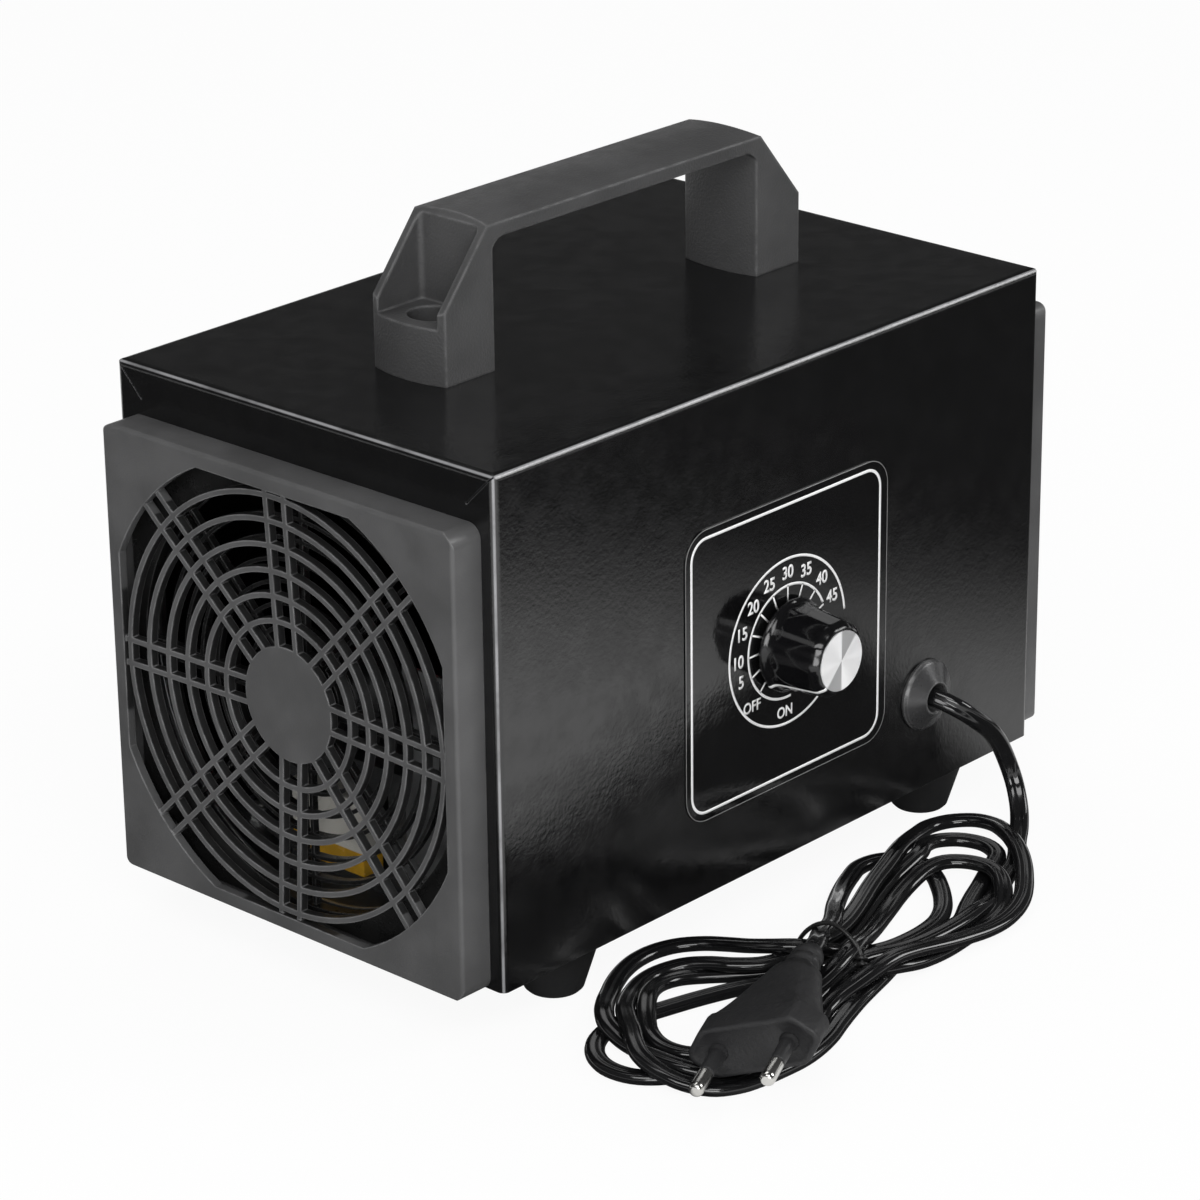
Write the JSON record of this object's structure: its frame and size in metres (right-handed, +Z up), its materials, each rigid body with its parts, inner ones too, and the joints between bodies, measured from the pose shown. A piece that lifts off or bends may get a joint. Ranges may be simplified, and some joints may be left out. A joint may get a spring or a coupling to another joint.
{
  "type": "air treatment unit with timer",
  "caption": "Steel-cased portable air treatment unit with bridge handle, dished fan guards at both ends, timer knob on a square label, rubber feet and tied mains cord with plug.",
  "frame": {"origin": "floor level under the middle of the unit's own box, the cord, hank and plug left out", "axes": "+Z up, X along the air flow with the fan at +X, the control face with label and knob looks along -Y"},
  "size_m": [0.234, 0.2159, 0.192],
  "materials": {
    "case_paint": "gloss",
    "bare_steel": "satin",
    "zinc_steel": "satin",
    "foot_rubber": "matte",
    "handle_plastic": "fine texture",
    "guard_plastic": "satin",
    "label_film": "gloss",
    "knob_plastic": "gloss",
    "spun_aluminium": "spun",
    "brass": "satin",
    "timer_resin": "satin",
    "fan_plastic": "satin",
    "copper_winding": "satin",
    "core_iron": "matte",
    "winding_tape": "gloss",
    "potting_resin": "gloss",
    "white_ceramic": "glazed",
    "plate_silver": "satin",
    "block_resin": "satin",
    "red_insulation": "gloss",
    "brown_insulation": "gloss",
    "grommet_rubber": "satin",
    "cord_pvc": "gloss",
    "tie_plastic": "satin",
    "plug_pvc": "satin",
    "pin_nickel": "polished"
  },
  "bodies": {
    "case": {"case_cover": "case_paint", "chassis": "bare_steel", "rubber_feet": "foot_rubber", "foot_screws": "zinc_steel", "foot_nuts": "zinc_steel", "handle": "handle_plastic", "handle_screws": "zinc_steel", "handle_washers": "zinc_steel", "handle_nuts": "zinc_steel", "front_guard_base": "guard_plastic", "front_guard_cover": "guard_plastic", "front_guard_screws": "zinc_steel", "front_guard_nuts": "zinc_steel", "rear_guard_base": "guard_plastic", "rear_guard_cover": "guard_plastic", "fan_screws": "zinc_steel", "fan_nuts": "zinc_steel", "fan_housing": "fan_plastic", "fan_stator": "copper_winding", "fan_bearings": "brass", "label_plate": "label_film", "timer_housing": "timer_resin", "timer_terminals": "brass", "timer_screws": "zinc_steel", "transformer_core": "core_iron", "transformer_coil": "winding_tape", "power_module": "potting_resin", "ozone_plates": "white_ceramic", "plate_electrodes": "plate_silver", "plate_rack": "plate_silver", "rack_screws": "zinc_steel", "terminal_block": "block_resin", "red_leads": "red_insulation", "mains_wires": "brown_insulation", "cord_grommet": "grommet_rubber", "cord_lead": "cord_pvc", "cord_hank": "cord_pvc", "cord_tail": "cord_pvc", "cord_tie": "tie_plastic", "plug_body": "plug_pvc", "plug_pins": "pin_nickel"},
    "knob": {"knob_body": "knob_plastic", "knob_bush": "brass", "knob_cap": "spun_aluminium", "timer_shaft": "bare_steel"},
    "rotor": {"fan_rotor": "fan_plastic", "fan_shaft": "bare_steel"}
  },
  "joints": [
    {"name": "timer_knob", "type": "hinge", "parent": "case", "child": "knob", "pos_m": [0.0017, -0.0585, 0.075], "axis": [0, 1, 0], "range_deg": [-45, 202.5]},
    {"name": "fan_spin", "type": "hinge", "parent": "case", "child": "rotor", "pos_m": [0.09, 0.0093, 0.076], "axis": [1, 0, 0], "continuous": true}
  ]
}
